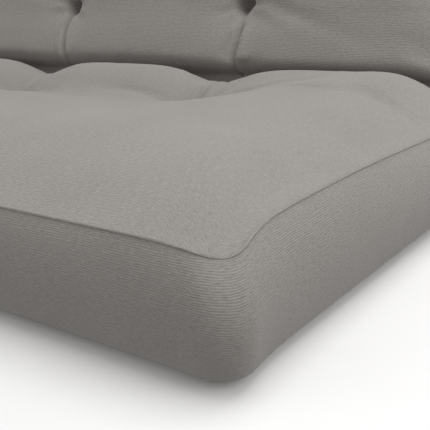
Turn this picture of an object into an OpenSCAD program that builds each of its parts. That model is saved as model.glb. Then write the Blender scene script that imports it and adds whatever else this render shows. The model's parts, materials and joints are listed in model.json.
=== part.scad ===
// Full-size futon mattress folded as a sofa: a seat half lying flat, a back half
// leaning behind it, and a fold zone between them. X runs across the width,
// -Y is the front, +Z is up, and the origin is the bottom centre of the bounding box.

/* [Mattress] */
// Width from side to side, in mm.
mattress_w = 1905; // [1700:5:2000]
// Length of each half from the fold to its far edge, in mm.
half_l = 686; // [640:1:740]
// Height of the border strip at the edges, in mm.
border_h = 152; // [142:1:160]
// Full height of the crowned middle, in mm.
crown_h = 200; // [194:1:208]
// Distance over which the crown rises from the edge, in mm.
crown_run = 105; // [90:1:110]
// Radius of the rolled lower edge, in mm.
bottom_r = 30; // [24:1:36]
// Radius of the upright corners, in mm.
corner_r = 40; // [36:1:60]

/* [Fold] */
// Angle the back has swung up from the flat bed, in degrees.
fold_angle = 72; // [60:1:80]
// Gap between each half and the fold zone, in mm.
fold_gap = 0.5; // [0.4:0.1:1]

/* [Cover] */
// Thickness of the quilted cover cloth, in mm.
cover_t = 3; // [2:0.5:4]
// Radius of the covered welt cord on the upper seam, in mm.
welt_r = 4; // [3.5:0.5:5]
// Height of the lower seam above the bottom face, in mm.
lower_seam_h = 8; // [6:1:12]

/* [Filling] */
// Height at which the foam core starts, in mm.
foam_bottom = 50; // [40:1:60]
// Height at which the foam core ends, in mm.
foam_top = 148; // [144:1:152]

/* [Tufts] */
// Number of tufts in the row across each half.
tuft_count = 3; // [2:1:5]
// Distance of the tuft row from the fold, in mm.
tuft_row_v = 130; // [115:1:150]
// Depth of a tuft pit in the upper face, in mm.
pit_depth = 65; // [45:1:70]
// Radius of a tuft pit at the upper face, in mm.
pit_r = 52; // [45:1:60]
// Depth of a tuft pit in the lower face, in mm.
low_pit_depth = 25; // [18:1:30]
// Radius of a tuft pit at the lower face, in mm.
low_pit_r = 36; // [30:1:44]
// Radius of the washer at each end of a tuft cord, in mm.
washer_r = 12; // [9:1:14]
// Thickness of a washer, in mm.
washer_t = 4; // [3:0.5:5]
// Radius of a tuft cord, in mm.
cord_r = 2; // [1.5:0.5:2.5]

/* [Hidden] */
$fn = 64;
half_w = mattress_w / 2;
// The crown rises along an arc that ends level with the top.
crown_rise = crown_h - border_h;
crown_arc_r = (crown_run * crown_run + crown_rise * crown_rise) / (2 * crown_rise);
crown_arc_z = crown_h - crown_arc_r;
// The crease lies as far below the fold axis as the crown rises.
crease_r = crown_rise;
// The corner arcs stand out by this much, so that they cut the sides at a clear angle.
corner_ease = 0.3;
// The welt stands on the seam with its inner side clear of the filling.
welt_out = welt_r - cover_t + corner_ease;
// The rear reach of the leaning back decides where the fold is.
back_reach = (half_l - bottom_r) * cos(fold_angle)
    + (crown_h - bottom_r) * sin(fold_angle) + bottom_r;
fold_y = (half_l + welt_out + welt_r - back_reach) / 2;
// The tufts divide the width into equal stretches.
tuft_pitch = mattress_w / (tuft_count + 1);
pit_floor_r = washer_r + 5;
bore_r = cord_r + 0.3;
knot_r = cord_r + 2.5;
pit_floor = crown_h - pit_depth;
washer_top_z = pit_floor + cover_t;
washer_low_z = low_pit_depth - cover_t - washer_t;
// Cloth and filling colours.
cloth = [0.47, 0.44, 0.41];
welt_cloth = [0.50, 0.47, 0.44];
batting = [0.90, 0.87, 0.80];
foam = [0.93, 0.86, 0.66];
cord = [0.35, 0.33, 0.31];
felt = [0.40, 0.38, 0.36];
// Margin by which cutting shapes pass the solids they cut.
over = 20;

// ---- one half in its own frame: X across, Y away from the fold, Z through ----

// Side outline of a half, drawn in from the outside by o.
module side_outline(o) {
    intersection() {
        translate([fold_gap, o])
            square([half_l - fold_gap - o, crown_h - 2 * o]);
        union() {
            translate([crown_run, 0])
                square([half_l - 2 * crown_run, crown_h]);
            translate([crown_run, crown_arc_z])
                circle(r = crown_arc_r - o);
            translate([half_l - crown_run, crown_arc_z])
                circle(r = crown_arc_r - o);
        }
        union() {
            square([half_l - bottom_r, crown_h]);
            translate([0, bottom_r])
                square([half_l, crown_h]);
            translate([half_l - bottom_r, bottom_r])
                circle(r = bottom_r - o);
        }
    }
}

// Front outline of a half, drawn in from the outside by o.
module front_outline(o) {
    intersection() {
        translate([-half_w + o, o])
            square([mattress_w - 2 * o, crown_h - 2 * o]);
        union() {
            translate([-half_w + crown_run, 0])
                square([mattress_w - 2 * crown_run, crown_h]);
            translate([-half_w + crown_run, crown_arc_z])
                circle(r = crown_arc_r - o);
            translate([half_w - crown_run, crown_arc_z])
                circle(r = crown_arc_r - o);
        }
        union() {
            translate([-half_w + bottom_r, 0])
                square([mattress_w - 2 * bottom_r, crown_h]);
            translate([-half_w, bottom_r])
                square([mattress_w, crown_h]);
            translate([-half_w + bottom_r, bottom_r])
                circle(r = bottom_r - o);
            translate([half_w - bottom_r, bottom_r])
                circle(r = bottom_r - o);
        }
    }
}

// Plan with rounded corners that cuts the upright corners of a half, drawn in by o.
module corner_plan(o) {
    translate([-half_w - over, 0])
        square([mattress_w + 2 * over, half_l - corner_r]);
    translate([-half_w + corner_r, 0])
        square([mattress_w - 2 * corner_r, half_l + over]);
    translate([-half_w + corner_r, half_l - corner_r])
        circle(r = corner_r + corner_ease - o);
    translate([half_w - corner_r, half_l - corner_r])
        circle(r = corner_r + corner_ease - o);
}

// Whole pillow of a half, drawn in from the outside by o.
module pillow(o) {
    intersection() {
        translate([-half_w - over, 0, 0])
            rotate([90, 0, 90])
                linear_extrude(mattress_w + 2 * over)
                    side_outline(o);
        translate([0, half_l + over, 0])
            rotate([90, 0, 0])
                linear_extrude(half_l + 2 * over)
                    front_outline(o);
        linear_extrude(crown_h + over)
            corner_plan(o);
    }
}

// Slab between two heights, wider and longer than a half.
module slab(z0, z1) {
    translate([-half_w - over, -over, z0])
        cube([mattress_w + 2 * over, half_l + 2 * over, z1 - z0]);
}

// Places children at every tuft of a half.
module at_tufts() {
    for (i = [1 : tuft_count])
        translate([i * tuft_pitch - half_w, tuft_row_v, 0])
            children();
}

// Pit of an upper tuft, made smaller by o.
module upper_pit(o) {
    translate([0, 0, pit_floor + o])
        cylinder(h = pit_depth - o, r1 = pit_floor_r - o, r2 = pit_r - o);
    translate([0, 0, crown_h])
        cylinder(h = over, r = pit_r - o);
}

// Pit of a lower tuft, made smaller by o.
module lower_pit(o) {
    cylinder(h = low_pit_depth - o, r1 = low_pit_r - o, r2 = pit_floor_r - o);
    translate([0, 0, -over])
        cylinder(h = over, r = low_pit_r - o);
}

// Straight bore for a tuft cord.
module cord_bore() {
    cylinder(h = crown_h, r = bore_r);
}

// Covered cord round the upper seam of a half.
module half_welt() {
    run = half_l - corner_r - fold_gap;
    for (s = [-1, 1])
        translate([s * (half_w + welt_out), fold_gap, border_h])
            rotate([-90, 0, 0])
                cylinder(h = run, r = welt_r);
    translate([-half_w + corner_r, half_l + welt_out, border_h])
        rotate([0, 90, 0])
            cylinder(h = mattress_w - 2 * corner_r, r = welt_r);
    translate([half_w - corner_r, half_l - corner_r, border_h])
        rotate_extrude(angle = 90)
            translate([corner_r + welt_out, 0])
                circle(r = welt_r);
    translate([-half_w + corner_r, half_l - corner_r, border_h])
        rotate([0, 0, 90])
            rotate_extrude(angle = 90)
                translate([corner_r + welt_out, 0])
                    circle(r = welt_r);
}

// Cover cloth between two heights, without its tuft pits.
module cover_between(z0, z1) {
    intersection() {
        difference() {
            pillow(0);
            pillow(cover_t);
        }
        slab(z0, z1);
    }
}

// Upper cover panel with a cloth cup in every tuft pit.
module top_panel() {
    difference() {
        union() {
            cover_between(border_h, crown_h + over);
            intersection() {
                pillow(0);
                at_tufts()
                    upper_pit(0);
            }
        }
        at_tufts()
            upper_pit(cover_t);
        at_tufts()
            cord_bore();
        half_welt();
    }
}

// Lower cover panel with a shallow cloth cup in every tuft pit.
module bottom_panel() {
    difference() {
        union() {
            cover_between(-over, lower_seam_h);
            at_tufts()
                cylinder(h = low_pit_depth, r1 = low_pit_r, r2 = pit_floor_r);
        }
        at_tufts()
            lower_pit(cover_t);
        at_tufts()
            cord_bore();
    }
}

// Border cloth between the two seams, all round a half.
module border_cloth() {
    difference() {
        cover_between(lower_seam_h, border_h);
        half_welt();
    }
}

// Border strip along the far edge of a half.
module end_border() {
    intersection() {
        border_cloth();
        translate([-half_w + corner_r, half_l - corner_r, 0])
            cube([mattress_w - 2 * corner_r, corner_r + over, crown_h]);
    }
}

// Border strip along one side of a half, with its upright corner.
module side_border(s) {
    intersection() {
        border_cloth();
        translate([s > 0 ? half_w - corner_r : -half_w - over, -over, 0])
            cube([corner_r + over, half_l + 2 * over, crown_h]);
    }
}

// One layer of filling between two heights, with its tuft pits and bores.
module filling(z0, z1) {
    difference() {
        intersection() {
            pillow(cover_t);
            slab(z0, z1);
        }
        at_tufts()
            upper_pit(0);
        at_tufts()
            lower_pit(0);
        at_tufts()
            cord_bore();
    }
}

// Tuft cords of a half, knotted over the washers at both ends.
module tuft_cords() {
    low = washer_low_z - knot_r;
    high = washer_top_z + washer_t + knot_r;
    at_tufts() {
        translate([0, 0, low])
            cylinder(h = high - low, r = cord_r);
        translate([0, 0, low])
            sphere(r = knot_r);
        translate([0, 0, high])
            sphere(r = knot_r);
    }
}

// Washers of a half with their undersides at height z.
module washers(z) {
    at_tufts()
        translate([0, 0, z])
            difference() {
                cylinder(h = washer_t, r = washer_r);
                translate([0, 0, -1])
                    cylinder(h = washer_t + 2, r = bore_r);
            }
}

// ---- fold zone: a section swept round the fold axis ----

// Section of the fold zone, radius from the axis by width, drawn in by o.
module fold_section(o) {
    outer = crown_h - bottom_r;
    translate([crease_r + o, -half_w + o])
        square([outer - crease_r - o, mattress_w - 2 * o]);
    translate([outer, -half_w + bottom_r])
        square([bottom_r - o, mattress_w - 2 * bottom_r]);
    intersection() {
        translate([outer, -half_w + o])
            square([bottom_r, mattress_w - 2 * o]);
        union() {
            translate([outer, -half_w + bottom_r])
                circle(r = bottom_r - o);
            translate([outer, half_w - bottom_r])
                circle(r = bottom_r - o);
        }
    }
}

// Section of the welt at both ends of the fold zone.
module fold_welt_section() {
    for (s = [-1, 1])
        translate([crease_r, s * (half_w + welt_out)])
            circle(r = welt_r);
}

// Cover section of the fold zone between two radii, cut away round the welts.
module fold_cover_section(r0, r1) {
    intersection() {
        difference() {
            fold_section(0);
            fold_section(cover_t);
            fold_welt_section();
        }
        translate([r0, -half_w - over])
            square([r1 - r0, mattress_w + 2 * over]);
    }
}

// Sweeps a section round the fold axis from the seat end to the back end.
module sweep() {
    translate([0, fold_y, crown_h])
        rotate([0, 90, 0])
            rotate_extrude(angle = fold_angle)
                children();
}

// ---- placing the halves ----

// Puts a half in the place of the seat.
module as_seat() {
    translate([0, fold_y, 0])
        mirror([0, 1, 0])
            children();
}

// Puts a half in the place of the back, leaning behind the seat.
module as_back() {
    translate([0, fold_y, crown_h])
        rotate([fold_angle, 0, 0])
            translate([0, 0, -crown_h])
                children();
}

// ---- parts ----

module seat_top_panel() {
    color(cloth)
        as_seat()
            top_panel();
}

module seat_bottom_panel() {
    color(cloth)
        as_seat()
            bottom_panel();
}

module seat_front_border() {
    color(cloth)
        as_seat()
            end_border();
}

module seat_left_border() {
    color(cloth)
        as_seat()
            side_border(-1);
}

module seat_right_border() {
    color(cloth)
        as_seat()
            side_border(1);
}

module seat_welt() {
    color(welt_cloth)
        as_seat()
            half_welt();
}

module seat_top_batting() {
    color(batting)
        as_seat()
            filling(foam_top, crown_h);
}

module seat_foam_core() {
    color(foam)
        as_seat()
            filling(foam_bottom, foam_top);
}

module seat_bottom_batting() {
    color(batting)
        as_seat()
            filling(0, foam_bottom);
}

module seat_tuft_cords() {
    color(cord)
        as_seat()
            tuft_cords();
}

module seat_top_washers() {
    color(felt)
        as_seat()
            washers(washer_top_z);
}

module seat_bottom_washers() {
    color(felt)
        as_seat()
            washers(washer_low_z);
}

module back_top_panel() {
    color(cloth)
        as_back()
            top_panel();
}

module back_bottom_panel() {
    color(cloth)
        as_back()
            bottom_panel();
}

module back_upper_border() {
    color(cloth)
        as_back()
            end_border();
}

module back_left_border() {
    color(cloth)
        as_back()
            side_border(-1);
}

module back_right_border() {
    color(cloth)
        as_back()
            side_border(1);
}

module back_welt() {
    color(welt_cloth)
        as_back()
            half_welt();
}

module back_top_batting() {
    color(batting)
        as_back()
            filling(foam_top, crown_h);
}

module back_foam_core() {
    color(foam)
        as_back()
            filling(foam_bottom, foam_top);
}

module back_bottom_batting() {
    color(batting)
        as_back()
            filling(0, foam_bottom);
}

module back_tuft_cords() {
    color(cord)
        as_back()
            tuft_cords();
}

module back_top_washers() {
    color(felt)
        as_back()
            washers(washer_top_z);
}

module back_bottom_washers() {
    color(felt)
        as_back()
            washers(washer_low_z);
}

module fold_inner_strip() {
    color(cloth)
        sweep()
            fold_cover_section(crease_r, crease_r + cover_t);
}

module fold_outer_strip() {
    color(cloth)
        sweep()
            fold_cover_section(crown_h - lower_seam_h, crown_h);
}

module fold_filling() {
    color(batting)
        sweep()
            fold_section(cover_t);
}

module fold_left_gusset() {
    color(cloth)
        sweep()
            intersection() {
                fold_cover_section(crease_r + cover_t, crown_h - lower_seam_h);
                translate([0, -half_w])
                    square([crown_h, bottom_r]);
            }
}

module fold_right_gusset() {
    color(cloth)
        sweep()
            intersection() {
                fold_cover_section(crease_r + cover_t, crown_h - lower_seam_h);
                translate([0, half_w - bottom_r])
                    square([crown_h, bottom_r]);
            }
}

module fold_welts() {
    color(welt_cloth)
        sweep()
            fold_welt_section();
}

seat_top_panel();
seat_bottom_panel();
seat_front_border();
seat_left_border();
seat_right_border();
seat_welt();
seat_top_batting();
seat_foam_core();
seat_bottom_batting();
seat_tuft_cords();
seat_top_washers();
seat_bottom_washers();
back_top_panel();
back_bottom_panel();
back_upper_border();
back_left_border();
back_right_border();
back_welt();
back_top_batting();
back_foam_core();
back_bottom_batting();
back_tuft_cords();
back_top_washers();
back_bottom_washers();
fold_inner_strip();
fold_outer_strip();
fold_filling();
fold_left_gusset();
fold_right_gusset();
fold_welts();
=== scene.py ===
import json
import math

import bpy
import numpy as np
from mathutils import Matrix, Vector


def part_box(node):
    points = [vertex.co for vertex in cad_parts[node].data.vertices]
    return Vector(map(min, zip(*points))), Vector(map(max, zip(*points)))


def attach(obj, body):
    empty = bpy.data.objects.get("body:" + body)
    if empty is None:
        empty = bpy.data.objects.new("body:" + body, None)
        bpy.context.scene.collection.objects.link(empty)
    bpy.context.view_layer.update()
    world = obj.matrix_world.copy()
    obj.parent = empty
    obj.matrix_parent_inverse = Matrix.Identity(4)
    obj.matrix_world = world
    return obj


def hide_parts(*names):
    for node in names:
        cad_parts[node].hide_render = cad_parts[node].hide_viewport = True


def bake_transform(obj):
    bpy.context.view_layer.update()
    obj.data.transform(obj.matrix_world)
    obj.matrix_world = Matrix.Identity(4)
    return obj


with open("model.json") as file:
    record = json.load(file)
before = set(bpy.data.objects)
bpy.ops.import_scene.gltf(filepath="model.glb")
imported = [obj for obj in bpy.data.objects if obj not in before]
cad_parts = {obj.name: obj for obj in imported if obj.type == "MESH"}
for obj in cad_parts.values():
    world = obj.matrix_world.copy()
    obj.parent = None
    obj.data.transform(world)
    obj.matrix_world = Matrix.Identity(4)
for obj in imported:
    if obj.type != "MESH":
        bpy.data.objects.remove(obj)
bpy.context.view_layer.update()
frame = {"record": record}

# A futon mattress folded as a sofa. Each half has its own coordinates: x across the width,
# v the distance from the fold, and w the height through the thickness from the lower face.
# A station is a place along the folded path, from the seat's front edge, round the fold,
# to the back's upper edge. Sizes are in metres.

# ---- sizes read from the frame ----
JOINT = frame["record"]["behaviour"]["joints"][0]
FOLD_Y, H = JOINT["pos_m"][1], JOINT["pos_m"][2]
THETA = math.radians(-JOINT["range_deg"][0])     # how far the back has swung up
CAD_CLOTH_T = 0.003
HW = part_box("seat_foam_core")[1][0] + CAD_CLOTH_T             # half the width
L = FOLD_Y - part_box("seat_foam_core")[0][1] + CAD_CLOTH_T     # length of a half
FOAM_LO, FOAM_HI = (corner[2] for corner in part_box("seat_foam_core"))
SEAM_W = sum(corner[2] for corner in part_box("seat_welt")) / 2
TUFT_V = FOLD_Y - sum(corner[1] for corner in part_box("seat_tuft_cords")) / 2
TUFT_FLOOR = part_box("seat_top_washers")[0][2]
LOW_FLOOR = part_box("seat_bottom_washers")[1][2]
WASHER_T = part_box("seat_top_washers")[1][2] - TUFT_FLOOR
WASHER_R = (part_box("seat_top_washers")[1][1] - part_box("seat_top_washers")[0][1]) / 2
TUFTS = 3
TUFT_X = [2 * HW * (n / (TUFTS + 1) - 0.5) for n in range(1, TUFTS + 1)]

# ---- shape of the cover ----
CLOTH_T = 0.0016        # thickness of the cloth that shows
PEAK = 0.196            # height of the plump middle before it is puffed up
REAR_PEAK = 0.209       # height of the seat's bulges between the tuft row and the crease
BACK_PEAK = 0.202       # height of the back's middle, which is flatter
SIDE_RUN = 0.17         # distance over which the crown rises from a side
REAR_SIDE_RUN = 0.14    # the same beside the bulges at the crease
END_RUN = 0.21          # distance over which it rises from the far edge
SEAM_DIP = 0.013        # how far the seam drops at an outer corner
SEAM_DIP_RUN = 0.045
SEAM_SAG = 0.014        # how far the seam drops towards the fold
SEAM_SAG_RUN = (0.45, 0.25)     # distance over which that fades, from the fold and from a side
SEAM_LOW = 0.003        # how far the seam lies below the CAD one, before its rise at the end
SEAM_RISE = (0.005, 0.10)       # its rise away from the far edge, and the distance it takes
CREASE_R = 0.046        # depth of the crease below the fold axis
ROLL = (0.052, 0.026)   # distance over which the upper face rolls into the crease, on seat and back
ROW_DIP = (0.040, 0.005)      # depth of the valley along the tuft row, on seat and back
ROW_RUN = (0.050, 0.155)      # its reach towards the crease and towards the far edge
COLUMN_DIP = (0.025, 0.005)   # depth of the valleys from tuft to crease, on seat and back
COLUMN_RUN = 0.082
BEHIND = (0.04, 0.09)         # where the part behind the tuft row starts, and over what distance
ROW_END = (0.22, 0.20)        # how far past the last tuft the row's valley goes, and its fade
PIT_R = 0.019           # radius of a tuft pit's steep part
DIMPLE_RUN = 0.042      # reach of the shallow dimple round it
PIT_SHARE, DIMPLE_SHARE = 0.68, 0.32    # how much of a tuft's depth each of them makes
CORNER_R = 0.045        # radius of the upright corners
EDGE_R = 0.029          # radius of the rolled lower edge
BELLY = 0.020           # how far a border swells out at its middle
SIDE_PULL = (0.011, 0.014)    # how far a side is drawn in away from its corner, at foot and seam
END_PULL = (0.005, -0.006)
PULL_RUN = 0.055

# ---- grid of the cloth simulation: columns, stations per half, fold stations, border levels ----
NX, NV, NA, NB = 140, 58, 12, 11
K = 2 * NV + NA


def station(u):
    """Side, v and fold angle at the fractional stations u: side -1 seat, 0 fold, 1 back."""
    u = np.asarray(u, float)
    side = np.where(u <= NV, -1, np.where(u < NV + NA, 0, 1))
    v = L * np.clip(np.maximum(NV - u, u - NV - NA), 0, None) / NV
    phi = THETA * np.clip((u - NV) / NA, 0, 1)
    return side, v, phi


def place(x, v, phi, side, w):
    """Points in the row frame from a half's own coordinates."""
    seat = side < 0
    y = np.where(seat, FOLD_Y - v, FOLD_Y + v * np.cos(phi) - (w - H) * np.sin(phi))
    z = np.where(seat, w, H + v * np.sin(phi) + (w - H) * np.cos(phi))
    return np.stack([x + 0 * z, y, z], -1)


def smooth(t):
    t = np.clip(t, 0, 1)
    return t * t * (3 - 2 * t)


def crown(d, run):
    return np.sin(np.clip(d / run, 0, 1) * math.pi / 2)


def seam_height(x, v):
    """Height of the upper seam, which drops at the outer corners."""
    d = np.hypot(HW - np.abs(x), L - v)
    sag = SEAM_SAG * smooth(1 - v / SEAM_SAG_RUN[0]) * smooth(1 - (HW - np.abs(x)) / SEAM_SAG_RUN[1])
    dip = SEAM_DIP * np.exp(-(d / SEAM_DIP_RUN) ** 1.4)
    return SEAM_W - SEAM_LOW + SEAM_RISE[0] * smooth((L - v) / SEAM_RISE[1]) - dip - sag


def upper(x, v, side, tufted=True):
    """Height of the upper face."""
    rim = seam_height(x, v)
    behind = smooth((TUFT_V + BEHIND[0] - v) / BEHIND[1])
    peak = np.where(side < 0, PEAK + (REAR_PEAK - PEAK) * behind, BACK_PEAK)
    run = SIDE_RUN + (REAR_SIDE_RUN - SIDE_RUN) * behind
    w = rim + (peak - rim) * crown(HW - np.abs(x), run) * crown(L - v, END_RUN)
    if tufted:
        inner = smooth((TUFT_X[-1] + ROW_END[0] - np.abs(x)) / ROW_END[1])
        reach = np.where(v < TUFT_V, *ROW_RUN)
        w = w - np.where(side < 0, *ROW_DIP) * np.exp(-((v - TUFT_V) / reach) ** 2) * inner
        depth = np.where(side < 0, *COLUMN_DIP)
        for tx in TUFT_X:
            w = w - depth * np.exp(-((x - tx) / COLUMN_RUN) ** 2) * behind
    low = np.minimum(w, H - CREASE_R)
    w = low + (w - low) * np.sqrt(1 - (1 - np.clip(v / np.where(side < 0, *ROLL), 0, 1)) ** 2)
    if tufted:
        for tx in TUFT_X:
            r = np.hypot(x - tx, v - TUFT_V)
            dimple = np.exp(-(np.clip(r - 0.008, 0, None) / DIMPLE_RUN) ** 1.4)
            pit = np.exp(-(r / PIT_R) ** 6)
            w = w + (TUFT_FLOOR - w) * (PIT_SHARE * pit + DIMPLE_SHARE * dimple)
    return w


def lower(x, v, tufted=True):
    """Height of the lower face, flat with shallow tufts."""
    w = np.zeros_like(x + v)
    if tufted:
        for tx in TUFT_X:
            r = np.clip(np.hypot(x - tx, v - TUFT_V) - 0.006, 0, None)
            w = np.maximum(w, LOW_FLOOR * np.exp(-(r / 0.020) ** 1.4))
    return w


def plan(x, v, t):
    """Plan position at a share t of the border's height: round corners, sides drawn in."""
    a = np.clip(np.abs(x) - (HW - CORNER_R), 0, None)
    b = np.clip(v - (L - CORNER_R), 0, None)
    px = np.abs(x) - a + a * np.sqrt(1 - b * b / (2 * CORNER_R ** 2))
    pv = v - b + b * np.sqrt(1 - a * a / (2 * CORNER_R ** 2))
    side_in = SIDE_PULL[0] + (SIDE_PULL[1] - SIDE_PULL[0]) * t
    end_in = END_PULL[0] + (END_PULL[1] - END_PULL[0]) * t
    side_in = side_in * (1 - np.exp(-((L - v) / PULL_RUN) ** 1.6))
    end_in = end_in * (1 - np.exp(-((HW - np.abs(x)) / PULL_RUN) ** 1.6))
    return np.sign(x) * px * (1 - side_in / HW), pv * (1 - end_in / L)


def upper_grid(x, u, tufted=True):
    side, v, phi = station(u)
    px, pv = plan(x, v, 1.0)
    return place(px, pv, phi, side, upper(x, v, side, tufted))


def lower_grid(x, u, tufted=True):
    side, v, phi = station(u)
    px, pv = plan(x, v, 0.0)
    return place(px * (1 - EDGE_R / HW), pv * (1 - EDGE_R / L), phi, side, lower(x, v, tufted))


def border_grid(x, u, t):
    """Points of the border over its edge places (x, u) and shares t of its height."""
    side, v, phi = station(u)
    top = seam_height(x, v)
    top = np.where(v < ROLL[0], np.minimum(top, upper(x, v, side)), top)
    curl = 0.30                        # share of the levels that go round the rolled edge
    turn = np.clip(t / curl, 0, 1) * math.pi / 2
    h = EDGE_R * (1 - np.cos(turn)) + (top - EDGE_R) * np.clip((t - curl) / (1 - curl), 0, 1)
    inset = EDGE_R * (1 - np.sin(turn)) - BELLY * 4 * (h / top) * (1 - h / top)
    px, pv = plan(x, v, h / top)
    return place(px * (1 - inset / HW), pv * (1 - inset / L), phi, side, h)


def edge_places(xs, us):
    """The four edges of a grid in order round it: front, right, upper, left."""
    return [
        (xs, np.full(len(xs), us[0])),
        (np.full(len(us), xs[-1]), us),
        (xs[::-1], np.full(len(xs), us[-1])),
        (np.full(len(us), xs[0]), us[::-1]),
    ]


# ---- meshes ----
def make_mesh(name, verts, quads, uv=None, material=None):
    """A smooth-shaded mesh object of quads, with an optional uv per vertex in metres."""
    mesh = bpy.data.meshes.new(name)
    quads = np.asarray(quads, np.int32)
    mesh.vertices.add(len(verts))
    mesh.vertices.foreach_set("co", np.asarray(verts, np.float32).ravel())
    mesh.loops.add(quads.size)
    mesh.loops.foreach_set("vertex_index", quads.ravel())
    mesh.polygons.add(len(quads))
    mesh.polygons.foreach_set("loop_start", np.arange(len(quads), dtype=np.int32) * 4)
    mesh.polygons.foreach_set("use_smooth", np.ones(len(quads), bool))
    if uv is not None:
        layer = mesh.uv_layers.new(name="weave")
        layer.data.foreach_set("uv", np.asarray(uv, np.float32)[quads.ravel()].ravel())
    mesh.update(calc_edges=True)
    mesh.validate()
    obj = bpy.data.objects.new(name, mesh)
    bpy.context.scene.collection.objects.link(obj)
    if material is not None:
        mesh.materials.append(material)
    return obj


def grid_quads(n, m):
    """Quads of an n by m grid of vertices, facing along axis 0 cross axis 1."""
    at = np.arange(n * m).reshape(n, m)
    return np.stack([at[:-1, :-1], at[1:, :-1], at[1:, 1:], at[:-1, 1:]], -1).reshape(-1, 4)


def grid_normals(grid):
    n = np.cross(np.gradient(grid, axis=0), np.gradient(grid, axis=1))
    return n / np.maximum(np.linalg.norm(n, axis=-1, keepdims=True), 1e-12)


def rim_quads(n, m, offset):
    """Quads that close the rim between a grid and its copy offset vertices later."""
    at = np.arange(n * m).reshape(n, m)
    loop = np.concatenate([at[:-1, 0], at[-1, :-1], at[:0:-1, -1], at[0, :0:-1]])
    nxt = np.roll(loop, -1)
    return np.stack([nxt, loop, loop + offset, nxt + offset], -1)


def between(name, top, bottom, material, uv=None):
    """Closed mesh between two grids, with top on the outer side."""
    n, m = top.shape[:2]
    verts = np.concatenate([top.reshape(-1, 3), bottom.reshape(-1, 3)])
    face = grid_quads(n, m)
    quads = np.concatenate([face, face[:, ::-1] + n * m, rim_quads(n, m, n * m)])
    uv = None if uv is None else np.concatenate([uv.reshape(-1, 2)] * 2)
    obj = make_mesh(name, verts, quads, uv, material)
    obj.data.set_sharp_from_angle(angle=math.radians(60))
    return obj


def cloth_shell(name, grid, outward, material):
    """A sheet of cloth with its outer face on the grid and its weave laid along it."""
    inner = grid - outward * CLOTH_T * grid_normals(grid)
    across = np.cumsum(np.linalg.norm(np.diff(grid, axis=0, prepend=grid[:1]), axis=-1), 0)
    along = np.cumsum(np.linalg.norm(np.diff(grid, axis=1, prepend=grid[:, :1]), axis=-1), 1)
    mid_n, mid_m = grid.shape[0] // 2, grid.shape[1] // 2
    uv = np.stack([across - across[mid_n] + 0 * along, along - along[:, mid_m:mid_m + 1]], -1)
    if outward > 0:
        return between(name, grid, inner, material, uv)
    return between(name, inner, grid, material, uv)


# ---- puffing up the cover ----
def coarse_cover(tufted):
    """Vertices of the cover on the simulation's grid: upper face, lower face, border rows."""
    x, u = np.meshgrid(np.linspace(-HW, HW, NX + 1), np.arange(K + 1.0), indexing="ij")
    ex, eu = (np.concatenate([e[n][:-1] for e in edge_places(x[:, 0], u[0])]) for n in (0, 1))
    t = np.arange(1, NB) / NB
    rows = border_grid(ex[:, None], eu[:, None], t[None, :])
    return np.concatenate([
        upper_grid(x, u, tufted).reshape(-1, 3), lower_grid(x, u, tufted).reshape(-1, 3),
        rows.reshape(-1, 3)])


def coarse_strips():
    """Vertex numbers of the four border strips, edge place by level, corners included."""
    at = np.arange((NX + 1) * (K + 1)).reshape(NX + 1, K + 1)
    loop = np.concatenate([at[:-1, 0], at[-1, :-1], at[:0:-1, -1], at[0, :0:-1]])
    rows = 2 * at.size + np.arange(len(loop) * (NB - 1)).reshape(len(loop), NB - 1)
    ring = np.concatenate([(loop + at.size)[:, None], rows, loop[:, None]], 1)
    ring = np.concatenate([ring, ring[:1]])
    ends = np.cumsum([0, NX, K, NX, K])
    return [ring[a:b + 1] for a, b in zip(ends[:-1], ends[1:])]


def simulate(frames=22):
    """Puffs up the cover, tufts, crease and lower face held; returns how each vertex moved."""
    size = (NX + 1) * (K + 1)
    face = grid_quads(NX + 1, K + 1)
    strips = [grid[quads] for grid, quads in (
        (s.ravel(), grid_quads(*s.shape)) for s in coarse_strips())]
    start, plain = coarse_cover(True), coarse_cover(False)
    obj = make_mesh("cloth_run", start, np.concatenate([face, face[:, ::-1] + size, *strips]))
    obj.shape_key_add(name="Basis")
    uncut = obj.shape_key_add(name="uncut")
    uncut.data.foreach_set("co", plain.astype(np.float32).ravel())
    uncut.value = 0.0
    x, u = (a.ravel() for a in np.meshgrid(
        np.linspace(-HW, HW, NX + 1), np.arange(K + 1.0), indexing="ij"))
    side, v, _ = station(u)
    held = np.zeros(len(start), bool)
    for tx in TUFT_X:
        held[:size] |= (np.hypot(x - tx, v - TUFT_V) < 0.010) & (side != 0)
    held[:size] |= side == 0
    held[size:2 * size] = np.minimum(HW - np.abs(x), L - v) > 0.03
    pins = obj.vertex_groups.new(name="held")
    pins.add(np.nonzero(held)[0].tolist(), 1.0, "REPLACE")
    cloth = obj.modifiers.new("Cloth", "CLOTH")
    s = cloth.settings
    s.quality = 6
    s.mass = 0.15
    s.tension_stiffness = s.compression_stiffness = 20
    s.shear_stiffness = 8
    s.bending_stiffness = 0.3
    s.air_damping = 4
    s.use_pressure = True
    s.uniform_pressure_force = 5
    s.vertex_group_mass = "held"
    s.rest_shape_key = uncut
    s.shrink_min = -0.012
    s.effector_weights.gravity = 0
    cloth.collision_settings.use_collision = False
    cloth.collision_settings.use_self_collision = False
    cloth.point_cache.frame_start, cloth.point_cache.frame_end = 1, frames
    scene = bpy.context.scene
    for f in range(1, frames + 1):
        scene.frame_set(f)
    done = obj.evaluated_get(bpy.context.evaluated_depsgraph_get())
    out = np.zeros(start.size, np.float32)
    done.data.vertices.foreach_get("co", out)
    scene.frame_set(1)
    bpy.data.objects.remove(obj)
    return out.reshape(-1, 3) - start


def capped(move, cap):
    """Moves shortened so that none is longer than cap."""
    size = np.maximum(np.linalg.norm(move, axis=-1, keepdims=True), 1e-9)
    cap = np.asarray(cap)[..., None]
    return move / size * cap * np.tanh(size / np.maximum(cap, 1e-9))


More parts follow.
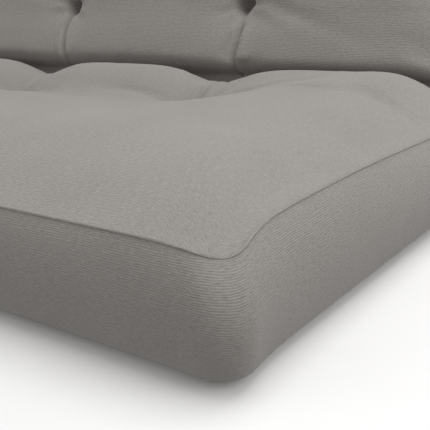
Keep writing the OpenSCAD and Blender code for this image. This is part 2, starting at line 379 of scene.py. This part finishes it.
def sampler(at, n):
    """Weights that read n evenly spaced values at the fractional places at, smoothly."""
    base = np.clip(np.floor(at).astype(int), 0, n - 2)
    f = at - base
    out = np.zeros((len(at), n))
    for o, c in enumerate((-0.5 * f ** 3 + f ** 2 - 0.5 * f, 1.5 * f ** 3 - 2.5 * f ** 2 + 1,
                           -1.5 * f ** 3 + 2 * f ** 2 + 0.5 * f, 0.5 * f ** 3 - 0.5 * f ** 2)):
        np.add.at(out, (np.arange(len(at)), np.clip(base + o - 1, 0, n - 1)), c)
    return out


def resample(field, rows, cols):
    return np.einsum("ai,ijc,bj->abc", sampler(rows, field.shape[0]), field, sampler(cols, field.shape[1]))


TOP_CAP, BACK_CAP, SEAM_CAP, BORDER_CAP = 0.009, 0.003, 0.002, 0.005


def simulated_moves():
    """Capped moves of the upper face and of the four border strips, on the coarse grid."""
    x, u = np.meshgrid(np.linspace(-HW, HW, NX + 1), np.arange(K + 1.0), indexing="ij")
    _, v, _ = station(u)
    strips = coarse_strips()
    move = simulate()
    edge = np.minimum(HW - np.abs(x), L - v)
    side, v, _ = station(u)
    cap = np.where(side > 0, BACK_CAP, TOP_CAP)
    top = capped(move[:x.size].reshape(*x.shape, 3), SEAM_CAP + (cap - SEAM_CAP) * smooth(edge / 0.08))
    t = np.linspace(0, 1, NB + 1)
    cap = BORDER_CAP * np.sin(math.pi * t) * (t > 0.2) + SEAM_CAP * (t == 1)
    return top, [capped(move[s], cap[None, :] + 0 * s) for s in strips]


# ---- fine grid: closer lines near the tufts, the crease and the seams ----
def graded(lo, hi, step):
    """Positions from lo to hi, an even number of steps, whose spacing follows step(position)."""
    p = np.linspace(lo, hi, 4001)
    count = np.concatenate([[0], np.cumsum(np.diff(p) / step((p[1:] + p[:-1]) / 2))])
    return np.interp(np.linspace(0, count[-1], 2 * int(round(count[-1] / 2)) + 1), count, p)


def column_step(x):
    near = np.max([np.exp(-((x - tx) / 0.05) ** 2) for tx in TUFT_X], axis=0)
    edge = np.exp(-((HW - np.abs(x)) / 0.03) ** 2)
    return 0.012 - 0.0075 * np.maximum(near, edge)


def station_step(v):
    row = np.exp(-((v - TUFT_V) / 0.06) ** 2)
    ends = np.maximum(np.exp(-((L - v) / 0.03) ** 2), 1.15 * np.exp(-(v / 0.04) ** 2))
    return 0.012 - 0.0075 * np.maximum(row, ends)


XS = graded(-HW, HW, column_step)
VS = graded(0, L, station_step)
US = np.concatenate([NV - VS[::-1] * NV / L, NV + np.arange(1, 16) / 16 * NA, NV + NA + VS * NV / L])
TS = np.linspace(0, 1, 21)


def ripple(a, seed, waves):
    """A gentle unevenness along a, between -1 and 1, from sines of the given wavelengths."""
    rng = np.random.default_rng(seed)
    return sum(np.sin(2 * math.pi * a / wave + rng.uniform(0, 6.28)) for wave in waves) / len(waves)


def gathers(x, v, side):
    """Creases of the upper face that are finer than the simulation: pleats and puckers at tufts."""
    out = np.zeros_like(x)
    for n, tx in enumerate(TUFT_X):
        lean = (0.010 if n % 2 else -0.006) * np.where(side < 0, 1, -1)
        run = np.clip(v / TUFT_V, 0, 1)
        centre = tx + lean * np.sin(math.pi * run) - 0.4 * lean * (1 - run)
        inside = smooth((TUFT_V - v) / 0.03) * (side != 0)
        groove = np.exp(-(np.abs(x - centre) / 0.0045) ** 1.6)
        ridge = np.exp(-((np.abs(x - centre) - 0.014) / 0.009) ** 2)
        out += inside * np.where(side < 0, 0.55, 1.0) * (0.0030 * ridge - 0.0085 * groove)
        r = np.hypot(x - tx, v - TUFT_V)
        angle = np.arctan2(v - TUFT_V, x - tx)
        spokes = np.cos(7 * angle + 1.3 * n + side) + 0.5 * np.cos(12 * angle - n)
        out += 0.0016 * spokes * np.exp(-((r - 0.035) / 0.020) ** 2)
    return out


def seam_puckers(a, d, seed):
    """Small gathers that run in from a seam: a along it, d away from it."""
    return 0.0007 * ripple(a, seed, (0.017, 0.023, 0.031, 0.043)) * np.exp(-d / 0.018)


def wrinkles_of_front(x):
    """A group of faint upright wrinkles across the front seam."""
    out = 0
    for at, size, width in ((0.700, 1.0, 0.006), (0.716, -0.8, 0.007),
                            (0.680, -0.5, 0.008), (0.785, 0.5, 0.010)):
        out = out + size * np.exp(-((x - at) / width) ** 2)
    return -0.0022 * out


def fine_upper(move):
    x, u = np.meshgrid(XS, US, indexing="ij")
    side, v, phi = station(u)
    px, pv = plan(x, v, 1.0)
    w = upper(x, v, side) + gathers(x, v, side)
    end, edge = L - v, HW - np.abs(x)
    w += seam_puckers(x, end, 3) + seam_puckers(v + 7 * side, edge, 4)
    w += wrinkles_of_front(x) * np.exp(-end / 0.10) * smooth(end / 0.01) * (side < 0)
    at_seam = (end < 1e-9) | (edge < 1e-9)
    w = np.where(at_seam, upper(x, v, side), w)
    grid = place(px, pv, phi, side, w)
    free = np.min([smooth((np.hypot(x - tx, v - TUFT_V) - 0.012) / 0.035) for tx in TUFT_X], axis=0)
    return grid + resample(move, (XS + HW) / (2 * HW) * NX, US) * free[..., None]


def fine_border(moves):
    """The border as one strip, edge place by level, starting at the front's left end."""
    parts = []
    for n, (x, u) in enumerate(edge_places(XS, US)):
        grid = border_grid(x[:, None], u[:, None], TS[None, :])
        along = (x + HW) / (2 * HW) * NX if n % 2 == 0 else u
        if n >= 2:
            along = along[0] - along
        grid = grid + resample(moves[n], along, TS * NB)
        parts.append(grid if n == 3 else grid[:-1])
    return np.concatenate(parts)


# ---- camera, light and floor ----
LENS = 63.5
CAMERA_AT = (1.3245, -1.0377, 0.3916)
CAMERA_TURN = (37.51, 18.24, -3.26)     # yaw, pitch and roll in degrees, fitted to the photograph


def add_camera():
    cam = bpy.data.cameras.new("camera")
    cam.lens = LENS
    cam.sensor_width = 36
    cam.clip_end = 50
    obj = bpy.data.objects.new("camera", cam)
    bpy.context.scene.collection.objects.link(obj)
    yaw, pitch, roll = (math.radians(a) for a in CAMERA_TURN)
    fwd = Vector((-math.sin(yaw) * math.cos(pitch), math.cos(yaw) * math.cos(pitch), -math.sin(pitch)))
    level = Vector((math.cos(yaw), math.sin(yaw), 0))
    upright = level.cross(fwd)
    right = math.cos(roll) * level + math.sin(roll) * upright
    up = -math.sin(roll) * level + math.cos(roll) * upright
    m = obj.matrix_world.copy()
    for c, vec in enumerate((right, up, -fwd, Vector(CAMERA_AT))):
        for r in range(3):
            m[r][c] = vec[r]
    obj.matrix_world = m
    bpy.context.scene.camera = obj


def add_area(name, loc, target, size, power):
    light = bpy.data.lights.new(name, "AREA")
    light.shape = "RECTANGLE"
    light.size, light.size_y = size
    light.energy = power
    obj = bpy.data.objects.new(name, light)
    obj.location = loc
    obj.rotation_euler = (Vector(target) - Vector(loc)).to_track_quat("-Z", "Y").to_euler()
    bpy.context.scene.collection.objects.link(obj)


def add_world(below, horizon, above):
    """Soft light from all round, strongest at the horizon and weakest from below."""
    world = bpy.data.worlds.new("studio")
    bpy.context.scene.world = world
    world.use_nodes = True
    tree = world.node_tree
    at = tree.nodes.new("ShaderNodeTexCoord")
    parts = tree.nodes.new("ShaderNodeSeparateXYZ")
    ramp = tree.nodes.new("ShaderNodeMapRange")
    lift = tree.nodes.new("ShaderNodeMapRange")
    tree.links.new(at.outputs["Generated"], parts.inputs[0])
    for node, span, values in ((ramp, (-0.5, 0.0), (below, horizon)),
                               (lift, (0.0, 0.7), (0.0, above - horizon))):
        tree.links.new(parts.outputs["Z"], node.inputs["Value"])
        for socket, value in zip(node.inputs[1:5], span + values):
            socket.default_value = value
    total = tree.nodes.new("ShaderNodeMath")
    total.operation = "ADD"
    tree.links.new(ramp.outputs[0], total.inputs[0])
    tree.links.new(lift.outputs[0], total.inputs[1])
    bg = tree.nodes["Background"]
    bg.inputs["Color"].default_value = (1.0, 0.99, 0.98, 1)
    tree.links.new(total.outputs[0], bg.inputs["Strength"])


add_camera()
add_world(0.29, 0.80, 0.62)
add_area("key", (1.1, 0.05, 3.2), (0.3, -0.1, 0.2), (2.6, 2.2), 58)
add_area("side", (3.4, -0.2, 1.8), (0.6, -0.2, 0.2), (2.0, 2.0), 27)
bpy.context.scene.view_settings.view_transform = "Standard"


# ---- materials ----
class Shader:
    """A material being built: short names for the nodes it is made of."""

    def __init__(self, name):
        self.mat = bpy.data.materials.new(name)
        self.mat.use_nodes = True
        self.tree = self.mat.node_tree
        self.bsdf = self.tree.nodes["Principled BSDF"]

    def node(self, kind, **inputs):
        n = self.tree.nodes.new(kind)
        for key, value in inputs.items():
            self.feed(n.inputs[key.replace("_", " ")], value)
        return n

    def feed(self, socket, value):
        if isinstance(value, bpy.types.NodeSocket):
            self.tree.links.new(value, socket)
        else:
            socket.default_value = value

    def math(self, op, a, b=0.0, c=0.0):
        n = self.tree.nodes.new("ShaderNodeMath")
        n.operation = op
        for socket, value in zip(n.inputs, (a, b, c)):
            self.feed(socket, value)
        return n.outputs[0]

    def noise(self, vector, scale, detail=2.0, roughness=0.5):
        n = self.node("ShaderNodeTexNoise", Vector=vector, Scale=scale, Detail=detail, Roughness=roughness)
        return n.outputs["Fac"]

    def scaled(self, vector, scale):
        n = self.tree.nodes.new("ShaderNodeMapping")
        self.feed(n.inputs["Vector"], vector)
        n.inputs["Scale"].default_value = scale
        return n.outputs["Vector"]

    def ramp(self, fac, low, high, dark, light):
        n = self.tree.nodes.new("ShaderNodeValToRGB")
        for element, place_, colour in zip(n.color_ramp.elements, (low, high), (dark, light)):
            element.position = place_
            element.color = (*colour, 1)
        self.feed(n.inputs["Fac"], fac)
        return n.outputs["Color"]

    def finish(self, colour, height, distance, strength, roughness, sheen=0.0):
        self.feed(self.bsdf.inputs["Base Color"], colour)
        bump = self.node("ShaderNodeBump", Height=height, Strength=strength, Distance=distance)
        self.feed(self.bsdf.inputs["Normal"], bump.outputs["Normal"])
        self.feed(self.bsdf.inputs["Roughness"], roughness)
        self.bsdf.inputs["Sheen Weight"].default_value = sheen
        self.bsdf.inputs["Sheen Roughness"].default_value = 0.5
        self.bsdf.inputs["Specular IOR Level"].default_value = 0.2
        return self.mat


def cover_cloth(name, dark, light):
    """Close ribbed weave in two near greys, with slubs along the ribs and a soft unevenness."""
    s = Shader(name)
    uv = s.node("ShaderNodeUVMap").outputs["UV"]
    parts = s.node("ShaderNodeSeparateXYZ", Vector=uv)
    u, v = parts.outputs["X"], parts.outputs["Y"]
    wander = s.math("MULTIPLY", s.noise(s.scaled(uv, (30, 90, 1)), 1.0), 0.004)
    rib = s.math("SINE", s.math("MULTIPLY", s.math("ADD", v, wander), 2 * math.pi / 0.0026))
    cross = s.math("SINE", s.math("MULTIPLY", s.math("ADD", u, wander), 2 * math.pi / 0.0021))
    twill = s.math("MULTIPLY", rib, cross)
    weave = s.math("ADD", s.math("MULTIPLY", rib, 0.30), s.math("MULTIPLY", twill, 0.22))
    slub = s.noise(s.scaled(uv, (140, 520, 1)), 1.0, 3.0)
    grain = s.noise(s.scaled(uv, (420, 420, 1)), 1.0, 3.0, 0.6)
    mottle = s.noise(s.scaled(uv, (7, 7, 1)), 1.0, 3.0)
    total = s.math("ADD", s.math("MULTIPLY", weave, 0.30), s.math("MULTIPLY", slub, 0.55))
    total = s.math("ADD", total, s.math("MULTIPLY", grain, 0.30))
    total = s.math("ADD", total, s.math("MULTIPLY", mottle, 0.15))
    colour = s.ramp(total, 0.22, 0.78, dark, light)
    height = s.math("ADD", weave, s.math("MULTIPLY", grain, 0.6))
    rough = s.math("MULTIPLY_ADD", grain, 0.1, 0.86)
    return s.finish(colour, height, 0.0006, 0.55, rough, sheen=0.2)


def fibre(name, dark, light, scale, stretch=(1, 1, 1), bump=0.002, low=0.3, high=0.7):
    """Felted or foamed filling: tangled fibres or cells with a soft unevenness."""
    s = Shader(name)
    at = s.node("ShaderNodeTexCoord").outputs["Object"]
    fine = s.noise(s.scaled(at, stretch), scale, 4.0, 0.65)
    broad = s.noise(at, scale / 18, 2.0)
    total = s.math("ADD", s.math("MULTIPLY", fine, 0.7), s.math("MULTIPLY", broad, 0.3))
    rough = s.math("MULTIPLY_ADD", fine, 0.1, 0.86)
    return s.finish(s.ramp(total, low, high, dark, light), fine, bump, 0.6, rough, 0.1)


def foam_material():
    """Open-cell foam: pale cells with darker walls."""
    s = Shader("foam")
    at = s.node("ShaderNodeTexCoord").outputs["Object"]
    cells = s.node("ShaderNodeTexVoronoi", Vector=at, Scale=420.0).outputs["Distance"]
    broad = s.noise(at, 14.0, 2.0)
    total = s.math("ADD", s.math("MULTIPLY", cells, 0.7), s.math("MULTIPLY", broad, 0.35))
    colour = s.ramp(total, 0.2, 0.7, (0.62, 0.50, 0.27), (0.88, 0.78, 0.52))
    return s.finish(colour, cells, 0.0015, 0.6, s.math("MULTIPLY_ADD", broad, 0.1, 0.8))


def cord_material():
    """Waxed twine: strands that wind round the cord."""
    s = Shader("tuft_cord")
    at = s.node("ShaderNodeTexCoord").outputs["Object"]
    parts = s.node("ShaderNodeSeparateXYZ", Vector=at)
    level = s.math("ADD", parts.outputs["X"], parts.outputs["Y"])
    slant = s.math("ADD", s.math("MULTIPLY", parts.outputs["Z"], 2.0), level)
    strand = s.math("SINE", s.math("MULTIPLY", slant, 2 * math.pi / 0.004))
    total = s.math("ADD", s.math("MULTIPLY", strand, 0.3), s.noise(at, 600.0))
    colour = s.ramp(total, 0.2, 0.9, (0.05, 0.045, 0.04), (0.16, 0.145, 0.13))
    return s.finish(colour, strand, 0.0006, 0.6, s.math("MULTIPLY_ADD", strand, 0.05, 0.6))


COVER = cover_cloth("cover_cloth", (0.168, 0.158, 0.148), (0.342, 0.322, 0.303))
WELT = cover_cloth("welt_cloth", (0.185, 0.174, 0.163), (0.350, 0.330, 0.311))
BATTING = fibre("batting", (0.66, 0.62, 0.53), (0.88, 0.85, 0.78), 260.0, (1, 1, 3), 0.003)
FELT = fibre("felt_washer", (0.10, 0.09, 0.085), (0.22, 0.20, 0.19), 500.0, (1, 1, 1), 0.001)
FOAM = foam_material()
CORD = cord_material()


def bend(obj, slot, *nodes):
    """A soft piece that stands for these CAD nodes: its placement is baked into its mesh and the nodes are
    hidden.
    """
    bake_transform(obj)
    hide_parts(*nodes)


def add_cover():
    """The six cloth panels and the welt."""
    top_move, strip_moves = simulated_moves()
    top_grid = fine_upper(top_move)
    n = len(VS)
    every_other = np.concatenate([US[:n][::2], US[n:-n][1::2], US[-n:][::2]])
    x, u = np.meshgrid(XS[::2], every_other, indexing="ij")
    low_grid = lower_grid(x, u)
    border = fine_border(strip_moves)
    top = cloth_shell("top_cover", top_grid, 1, COVER)
    bend(top, "cover_cloth", "seat_top_panel", "back_top_panel", "fold_inner_strip")
    low = cloth_shell("bottom_cover", low_grid, -1, COVER)
    bend(low, "cover_cloth", "seat_bottom_panel", "back_bottom_panel", "fold_outer_strip")
    # the side borders wrap the upright corners
    wrap = int(np.sum(XS > HW - 0.07))
    nx, nu = len(XS) - 1, len(US) - 1
    ring = border[:-1]
    cuts = [wrap, nx - wrap, nx + nu + wrap, 2 * nx + nu - wrap]
    parts = {
        "front_border": ring[cuts[0]:cuts[1] + 1],
        "right_border": ring[cuts[1]:cuts[2] + 1],
        "upper_border": ring[cuts[2]:cuts[3] + 1],
        "left_border": np.concatenate([ring[cuts[3]:], ring[:cuts[0] + 1]]),
    }
    made = {name: cloth_shell(name, grid, 1, COVER) for name, grid in parts.items()}
    for name in ("left", "right"):
        nodes = ("seat_%s_border" % name, "back_%s_border" % name, "fold_%s_gusset" % name)
        bend(made[name + "_border"], "cover_cloth", *nodes)
    for name, body, node in (("front_border", "seat", "seat_front_border"),
                             ("upper_border", "back", "back_upper_border")):
        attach(made[name], body)
        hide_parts(node)
    welt = add_welt(ring[:, -1], ring[:, -2], top_grid)
    bend(welt, "welt_cloth", "seat_welt", "back_welt", "fold_welts")
    return top, low, made, welt


WELT_R = 0.0018


def add_welt(seam, below, top_grid):
    """Narrow covered cord standing on the upper seam, all the way round."""
    loops = (top_grid[:-1, 1], top_grid[-2, :-1], top_grid[:0:-1, -2], top_grid[1, :0:-1])
    inside = np.concatenate(loops)
    along = np.roll(seam, -1, 0) - np.roll(seam, 1, 0)
    along /= np.linalg.norm(along, axis=1, keepdims=True)

    def away(point):
        d = seam - point
        d -= along * np.sum(d * along, 1, keepdims=True)
        return d / np.maximum(np.linalg.norm(d, axis=1, keepdims=True), 1e-9)

    out = away(below) + away(inside)
    out /= np.maximum(np.linalg.norm(out, axis=1, keepdims=True), 1e-9)
    for _ in range(3):
        out = (np.roll(out, 1, 0) + 2 * out + np.roll(out, -1, 0)) / 4
    across = np.cross(along, out)
    centre = seam - out * 0.0002
    sides = 10
    angle = np.arange(sides) / sides * 2 * math.pi
    cos, sin = np.cos(angle)[None, :, None], np.sin(angle)[None, :, None]
    ring = centre[:, None] + WELT_R * (cos * out[:, None] + sin * across[:, None])
    n = len(centre)
    at = np.arange(n * sides).reshape(n, sides)
    right, down = np.roll(at, -1, 0), np.roll(at, -1, 1)
    both = np.roll(right, -1, 1)
    quads = np.stack([at, down, both, right], -1).reshape(-1, 4)
    length = np.concatenate([[0], np.cumsum(np.linalg.norm(np.diff(centre, axis=0), axis=1))])
    uv = np.stack(np.broadcast_arrays(length[:, None], angle[None, :] * WELT_R), -1)
    return make_mesh("welt", ring.reshape(-1, 3), quads, uv.reshape(-1, 2), WELT)


def inner_top(x, v, side):
    """Top of the filling, well under the cover even at the creases."""
    w = upper(x, v, side)
    for axis in (0, 1):
        w = np.minimum(w, np.minimum(np.roll(w, 1, axis), np.roll(w, -1, axis)))
    return w - 0.011


def filling_slab(name, half, low, high, inset, material):
    """One layer of the filling between two heights, in the seat (-1), fold (0) or back (1)."""
    stations = {-1: np.linspace(0.8, NV - 0.1, 60), 0: np.linspace(NV + 0.05, NV + NA - 0.05, 13),
                1: np.linspace(NV + NA + 0.1, K - 0.8, 60)}[half]
    x, u = np.meshgrid(np.linspace(-HW, HW, 141), stations, indexing="ij")
    _, v, phi = station(u)
    side = np.full(v.shape, half)
    ceiling = inner_top(x, v, side)
    foam_top = np.minimum(FOAM_HI, ceiling - 0.004)
    heights = {"floor": lower(x, v) + 0.004, "foam_low": FOAM_LO + 0 * x,
               "foam_top": foam_top, "ceiling": ceiling}
    px, pv = plan(x, v, 1.0)
    px, pv = px * (1 - inset / HW), pv * (1 - inset / L)
    top = place(px, pv, phi, side, heights[high] - 0.0006)
    bottom = place(px, pv, phi, side, heights[low] + 0.0006)
    return between(name, top, bottom, material)


def add_filling():
    made = []
    for half, body in ((-1, "seat"), (1, "back")):
        for layer, low, high, inset, material, slot, node in (
                ("upper_batting", "foam_top", "ceiling", 0.016, BATTING, "batting", "top_batting"),
                ("foam_slab", "foam_low", "foam_top", 0.012, FOAM, "foam", "foam_core"),
                ("lower_batting", "floor", "foam_low", 0.022, BATTING, "batting", "bottom_batting")):
            obj = filling_slab(body + "_" + layer, half, low, high, inset, material)
            bend(obj, slot, body + "_" + node)
            made.append(obj)
    obj = filling_slab("fold_batting", 0, "floor", "ceiling", 0.022, BATTING)
    bend(obj, "batting", "fold_filling")
    return made + [obj]


def turned(profile, x, half, sides=24):
    """Closed round shape about the tuft at x, from (radius, w) points between two poles."""
    angle = np.arange(sides) / sides * 2 * math.pi
    r, w = (np.array(a)[:, None] for a in zip(*profile))
    phi = THETA if half > 0 else 0.0
    across, v = x + r * np.cos(angle), TUFT_V + half * r * np.sin(angle)
    return place(across, v, phi + 0 * w, half + 0 * w, w + 0 * angle)


def turned_piece(name, profile, half, material):
    """The same turned shape at every tuft of a half, as one piece."""
    verts, quads, count = [], [], 0
    for tx in TUFT_X:
        grid = turned(profile, tx, half)
        n, m = grid.shape[:2]
        at = count + np.arange(n * m).reshape(n, m)
        nxt = np.roll(at, -1, 1)
        flip = np.stack([at[:-1], at[1:], nxt[1:], nxt[:-1]], -1).reshape(-1, 4)
        verts.append(grid.reshape(-1, 3))
        quads.append(flip if half > 0 else flip[:, ::-1])
        count += n * m
    return make_mesh(name, np.concatenate(verts), np.concatenate(quads), None, material)


def disc(low, high, radius):
    """Profile of a pressed disc with soft edges and a small dent where the cord passes."""
    mid, soft = (low + high) / 2, (high - low) / 2
    rim = [(radius - soft + soft * math.cos(a), mid + soft * math.sin(a))
           for a in np.linspace(-1.5, 1.5, 7)]
    under = [(0.0003, low + 0.0006), (radius * 0.4, low)]
    over = [(radius * 0.4, high), (0.0003, high - 0.0012)]
    return under + rim + over


def knotted(low, high):
    """Profile of a cord with a round knot at each end."""
    cord_r, knot_r = 0.0019, 0.0042
    turn = np.linspace(-math.pi / 2, math.pi / 2 - 0.5, 7)
    bottom = [(knot_r * math.cos(a) + 0.0002, low + knot_r * math.sin(a)) for a in turn]
    top = [(r, low + high - w) for r, w in reversed(bottom)]
    stem = [(cord_r, low + knot_r + (high - low - 2 * knot_r) * t) for t in np.linspace(0.02, 0.98, 12)]
    return bottom + stem + top


def add_tufts():
    for half, body in ((-1, "seat"), (1, "back")):
        upper_disc = disc(TUFT_FLOOR + 0.0005, TUFT_FLOOR + WASHER_T, WASHER_R)
        lower_disc = disc(LOW_FLOOR - WASHER_T, LOW_FLOOR - 0.0005, WASHER_R)
        twine = knotted(LOW_FLOOR - WASHER_T - 0.003, TUFT_FLOOR + WASHER_T + 0.003)
        top = turned_piece(body + "_upper_felt_washers", upper_disc, half, FELT)
        low = turned_piece(body + "_lower_felt_washers", lower_disc, half, FELT)
        cord = turned_piece(body + "_tuft_twine", twine, half, CORD)
        bend(top, "felt_washer", body + "_top_washers")
        bend(low, "felt_washer", body + "_bottom_washers")
        bend(cord, "tuft_cord", body + "_tuft_cords")


top, low, borders, welt = add_cover()
filling = add_filling()
add_tufts()

floor_mat = fibre("floor", (0.82, 0.82, 0.82), (0.86, 0.86, 0.86), 3.0, (1, 1, 1), 0.0001)
corners = [(-6, -6, 0), (6, -6, 0), (6, 6, 0), (-6, 6, 0)]
floor = make_mesh("floor", corners, [(0, 1, 2, 3)], None, floor_mat)
floor.visible_diffuse = False      # the pale floor doesn't throw light back up at the borders
